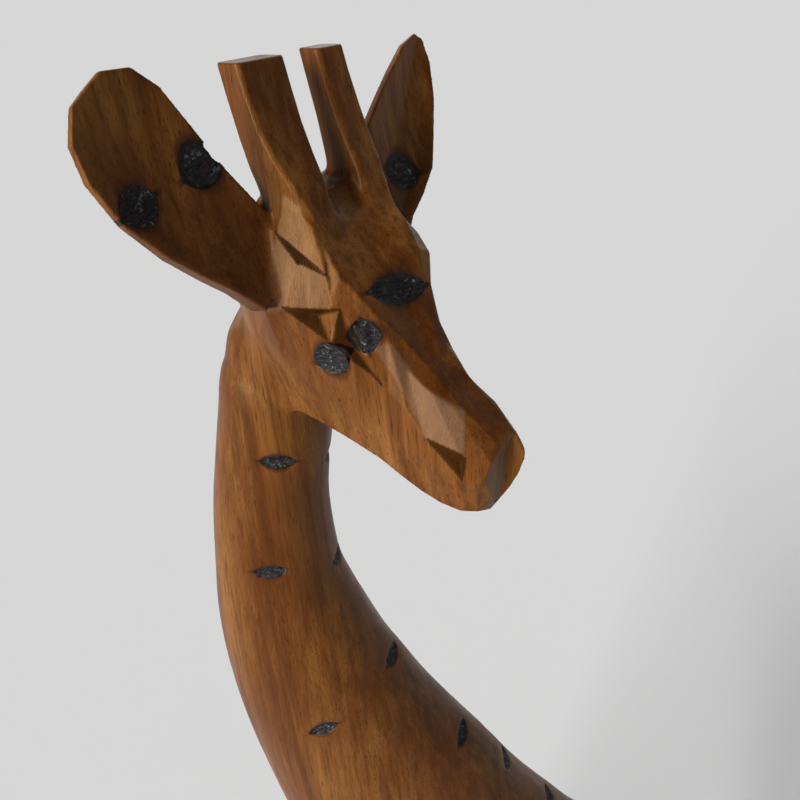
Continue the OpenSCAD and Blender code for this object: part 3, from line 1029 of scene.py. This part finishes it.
class Shader:
    """Short hand for building a node material."""

    def __init__(self, name):
        self.material = bpy.data.materials.new(name)
        self.material.use_nodes = True
        self.tree = self.material.node_tree
        self.bsdf = self.tree.nodes["Principled BSDF"]

    def node(self, kind):
        return self.tree.nodes.new(kind)

    def link(self, output, socket):
        self.tree.links.new(output, socket)

    def value(self, socket, source):
        """Feeds a socket from a node's output, or sets its number or colour."""
        if isinstance(source, bpy.types.NodeSocket):
            self.link(source, socket)
        else:
            socket.default_value = (*source, 1) if isinstance(source, tuple) else source

    def grain_space(self, across, along, turn=(0, 0, 0)):
        """Object coordinates scaled to cells per metre across and along the vertical grain."""
        place = self.node("ShaderNodeTexCoord")
        scale = self.node("ShaderNodeMapping")
        scale.inputs["Scale"].default_value = (across, across, along)
        scale.inputs["Rotation"].default_value = turn
        self.link(place.outputs["Object"], scale.inputs["Vector"])
        return scale.outputs[0]

    def noise(self, space, detail, rough, warp=0.0):
        node = self.node("ShaderNodeTexNoise")
        self.link(space, node.inputs["Vector"])
        node.inputs["Scale"].default_value = 1.0
        node.inputs["Detail"].default_value = detail
        node.inputs["Roughness"].default_value = rough
        node.inputs["Distortion"].default_value = warp
        return node.outputs[0]

    def ramp(self, source, stops):
        node = self.node("ShaderNodeValToRGB")
        self.link(source, node.inputs[0])
        band = node.color_ramp
        while len(band.elements) < len(stops):
            band.elements.new(0.5)
        for element, (place, colour) in zip(band.elements, stops):
            element.position = place
            if isinstance(colour, (int, float)):
                colour = (colour,) * 3
            element.color = (*colour, 1)
        return node.outputs[0]

    def mix(self, share, a, b, blend="MIX"):
        node = self.node("ShaderNodeMix")
        node.data_type = "RGBA"
        node.blend_type = blend
        self.value(node.inputs[0], share)
        self.value(node.inputs[6], a)
        self.value(node.inputs[7], b)
        return node.outputs[2]

    def math(self, operation, a, b, clamp=False):
        node = self.node("ShaderNodeMath")
        node.operation = operation
        node.use_clamp = clamp
        self.value(node.inputs[0], a)
        self.value(node.inputs[1], b)
        return node.outputs[0]

    def attribute(self, name):
        node = self.node("ShaderNodeAttribute")
        node.attribute_name = name
        return node.outputs["Fac"]

    def bump(self, height, distance, strength, after=None):
        node = self.node("ShaderNodeBump")
        node.inputs["Distance"].default_value = distance
        node.inputs["Strength"].default_value = strength
        self.link(height, node.inputs["Height"])
        if after is not None:
            self.link(after, node.inputs["Normal"])
        return node.outputs[0]


# Colours, linear
DARK_WOOD = (0.05, 0.012, 0.0012)
MID_WOOD = (0.115, 0.036, 0.0055)
GOLD_WOOD = (0.21, 0.088, 0.019)
RED_WOOD = (0.075, 0.018, 0.003)
PORE_WOOD = (0.018, 0.006, 0.0015)
# Lighter greyish colour of the rasped facets, partly dry wood and partly a painted sheen
DRY_SHEEN_WOOD = (0.13, 0.078, 0.048)
SCORCH_WOOD = (0.04, 0.009, 0.0035)
# Colour of the painted shade in the knife notches
NOTCH_SHADE = (0.016, 0.007, 0.0018)
SOOT = (0.002, 0.0018, 0.0018)
CHAR = (0.006, 0.0055, 0.0055)
CHAR_RIDGE = (0.022, 0.02, 0.02)
ASH = (0.16, 0.16, 0.18)
EMBER = (0.035, 0.011, 0.004)


def wood_material():
    s = Shader("carved_wood")
    broad = s.noise(s.grain_space(70, 5), 3, 0.5, 0.6)
    streaks = s.noise(s.grain_space(330, 13), 4, 0.6, 0.3)
    fibres = s.noise(s.grain_space(1500, 45), 3, 0.6)
    pores = s.noise(s.grain_space(2100, 120), 1, 0.5)
    clouds = s.noise(s.grain_space(28, 16), 2, 0.5)
    colour = s.ramp(broad, [(0.25, DARK_WOOD), (0.5, MID_WOOD), (0.8, GOLD_WOOD)])
    colour = s.mix(s.ramp(streaks, [(0.34, 0.6), (0.5, 0.0)]), colour, DARK_WOOD)
    colour = s.mix(s.ramp(streaks, [(0.53, 0.0), (0.72, 0.5)]), colour, GOLD_WOOD)
    colour = s.mix(s.ramp(clouds, [(0.42, 0.0), (0.68, 0.6)]), colour, RED_WOOD)
    colour = s.mix(0.55, colour, s.ramp(fibres, [(0.3, 0.5), (0.7, 1.0)]), "MULTIPLY")
    colour = s.mix(s.ramp(pores, [(0.3, 0.75), (0.37, 0.0)]), colour, PORE_WOOD)
    # Rasped facets: the lighter greyish colour is partly dry wood and partly a painted sheen; the
    # roughness and fuzz bumps are real
    rasp_and_sheen = s.attribute("rasp_and_sheen")
    fuzz = s.noise(s.grain_space(1500, 420), 3, 0.65)
    colour = s.mix(
        s.math("MULTIPLY", rasp_and_sheen, s.ramp(fuzz, [(0.3, 0.55), (0.7, 1.0)])), colour, DRY_SHEEN_WOOD
    )
    # Painted shade in the knife notches: a darker colour here and less gloss below
    painted_shade = s.attribute("painted_shade")
    colour = s.mix(s.math("MULTIPLY", painted_shade, 0.92), colour, NOTCH_SHADE)
    scorch = s.attribute("scorch")
    wander = s.noise(s.grain_space(420, 420), 3, 0.6)
    burnt = s.math("ADD", scorch, s.math("MULTIPLY", s.math("SUBTRACT", wander, 0.5), 0.5))
    colour = s.mix(s.ramp(burnt, [(0.12, 0.0), (0.62, 0.75)]), colour, SCORCH_WOOD)
    colour = s.mix(s.ramp(burnt, [(0.72, 0.0), (0.98, 0.97)]), colour, SOOT)
    s.link(colour, s.bsdf.inputs["Base Color"])
    shine = s.ramp(s.noise(s.grain_space(60, 30), 3, 0.6), [(0.35, 0.3), (0.65, 0.43)])
    shine = s.math("ADD", shine, s.math("MULTIPLY", fibres, 0.1))
    shine = s.math("ADD", shine, s.math("MULTIPLY", rasp_and_sheen, 0.16), clamp=True)
    s.link(shine, s.bsdf.inputs["Roughness"])
    relief = s.bump(fibres, 0.00006, 0.8)
    relief = s.bump(pores, 0.00008, 0.6, relief)
    relief = s.bump(s.math("MULTIPLY", fuzz, rasp_and_sheen), 0.0003, 0.7, relief)
    relief = s.bump(s.noise(s.grain_space(55, 30), 2, 0.5), 0.0009, 0.5, relief)
    s.link(relief, s.bsdf.inputs["Normal"])
    # Less gloss where the painted shade lies in the notches
    gloss = s.math("MULTIPLY", s.math("SUBTRACT", 1.0, painted_shade), 0.22)
    s.link(gloss, s.bsdf.inputs["Specular IOR Level"])
    s.bsdf.inputs["Specular Tint"].default_value = (1.0, 0.72, 0.4, 1)
    return s.material


def char_material():
    s = Shader("charred_wood")
    cracks = s.noise(s.grain_space(330, 1300, (0, 1.2, 0.5)), 5, 0.7, 0.8)
    patches = s.noise(s.grain_space(230, 230), 4, 0.7, 0.6)
    flecks = s.noise(s.grain_space(1100, 700), 2, 0.6)
    colour = s.ramp(cracks, [(0.4, SOOT), (0.62, CHAR), (0.8, CHAR_RIDGE)])
    colour = s.mix(s.ramp(patches, [(0.3, 0.8), (0.43, 0.0)]), colour, EMBER)
    dusty = s.ramp(patches, [(0.52, 0.0), (0.64, 1.0)])
    glint = s.math("MULTIPLY", dusty, s.ramp(flecks, [(0.5, 0.0), (0.66, 1.0)]))
    colour = s.mix(glint, colour, ASH)
    s.link(colour, s.bsdf.inputs["Base Color"])
    s.link(s.ramp(cracks, [(0.3, 0.7), (0.7, 0.36)]), s.bsdf.inputs["Roughness"])
    relief = s.bump(cracks, 0.0008, 1.0)
    relief = s.bump(patches, 0.0006, 0.7, relief)
    s.link(relief, s.bsdf.inputs["Normal"])
    s.bsdf.inputs["Specular IOR Level"].default_value = 0.3
    return s.material


wood = wood_material()
char = char_material()
stands_for = {"torso": ["torso", "tail"]}
for name, obj in pieces.items():
    obj.data.materials.append(wood)
    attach(obj, "root")
    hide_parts(*stands_for.get(name, [name]))
for name, obj in char_pieces.items():
    obj.data.materials.append(char)
    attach(obj, "root")
    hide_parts(name)

# ---------------- floor, camera, lights

# Half the floor's width, in metres, so that its far edge is the horizon
FLOOR = 90.0
floor_mesh = bpy.data.meshes.new("floor")
floor_corners = [(-FLOOR, -FLOOR, 0), (FLOOR, -FLOOR, 0), (FLOOR, FLOOR, 0), (-FLOOR, FLOOR, 0)]
floor_mesh.from_pydata(floor_corners, [], [(0, 1, 2, 3)])
floor = placed("floor", floor_mesh)
floor_mat = bpy.data.materials.new("pale_floor")
floor_mat.use_nodes = True
shade = floor_mat.node_tree.nodes["Principled BSDF"]
shade.inputs["Base Color"].default_value = (0.7, 0.71, 0.72, 1)
shade.inputs["Roughness"].default_value = 0.9
shade.inputs["Specular IOR Level"].default_value = 0.0
floor_mesh.materials.append(floor_mat)

# The camera's place, and the ways back from and right of its view
EYE_POINT = np.array([MID_X + 282.8, POLL[1] + 28.6, POLL[2] + 83.3])
back = np.array([0.8733, 0.0, 0.4872])
right = np.array([0.0407, 0.9965, -0.0730])
back /= np.linalg.norm(back)
right -= back * (right @ back)
right /= np.linalg.norm(right)
camera_data = bpy.data.cameras.new("camera")
camera_data.lens = 36
camera_data.sensor_width = 36
camera_data.clip_start = 0.01
camera_data.clip_end = 400
camera = placed("camera", camera_data)
turn = np.stack([right, np.cross(back, right), back], axis=1)
camera.matrix_world = Matrix.Translation(Vector(EYE_POINT * MM)) @ Matrix(turn.tolist()).to_4x4()
bpy.context.scene.camera = camera


# A barely warm white
DAYLIGHT = (1.0, 0.985, 0.96)


def soft_light(name, way, power, spread):
    """Light from far away, coming from way, as wide as a window or a pale wall."""
    light = bpy.data.lights.new(name, "SUN")
    light.energy = power
    light.angle = math.radians(spread)
    light.color = DAYLIGHT
    placed(name, light).rotation_euler = Vector(way).to_track_quat("Z", "Y").to_euler()


soft_light("window", (0.64, -0.74, 0.29), 6.6, 36)
soft_light("fill", (-0.75, 0.1, 0.35), 1.3, 80)
world = bpy.data.worlds.new("studio")
bpy.context.scene.world = world
world.use_nodes = True
room = world.node_tree
place = room.nodes.new("ShaderNodeTexCoord")
split = room.nodes.new("ShaderNodeSeparateXYZ")
sky = room.nodes.new("ShaderNodeValToRGB")
room.links.new(place.outputs["Generated"], split.inputs[0])
room.links.new(split.outputs["Z"], sky.inputs[0])
room.links.new(sky.outputs[0], room.nodes["Background"].inputs["Color"])
# How bright the room is at eye level and overhead
for element, (height, light) in zip(sky.color_ramp.elements, ((0.0, 0.62), (0.35, 0.17))):
    element.position = height
    element.color = (light, light, light * 1.01, 1)
room.nodes["Background"].inputs["Strength"].default_value = 1.0

bpy.context.scene.view_settings.view_transform = "Standard"
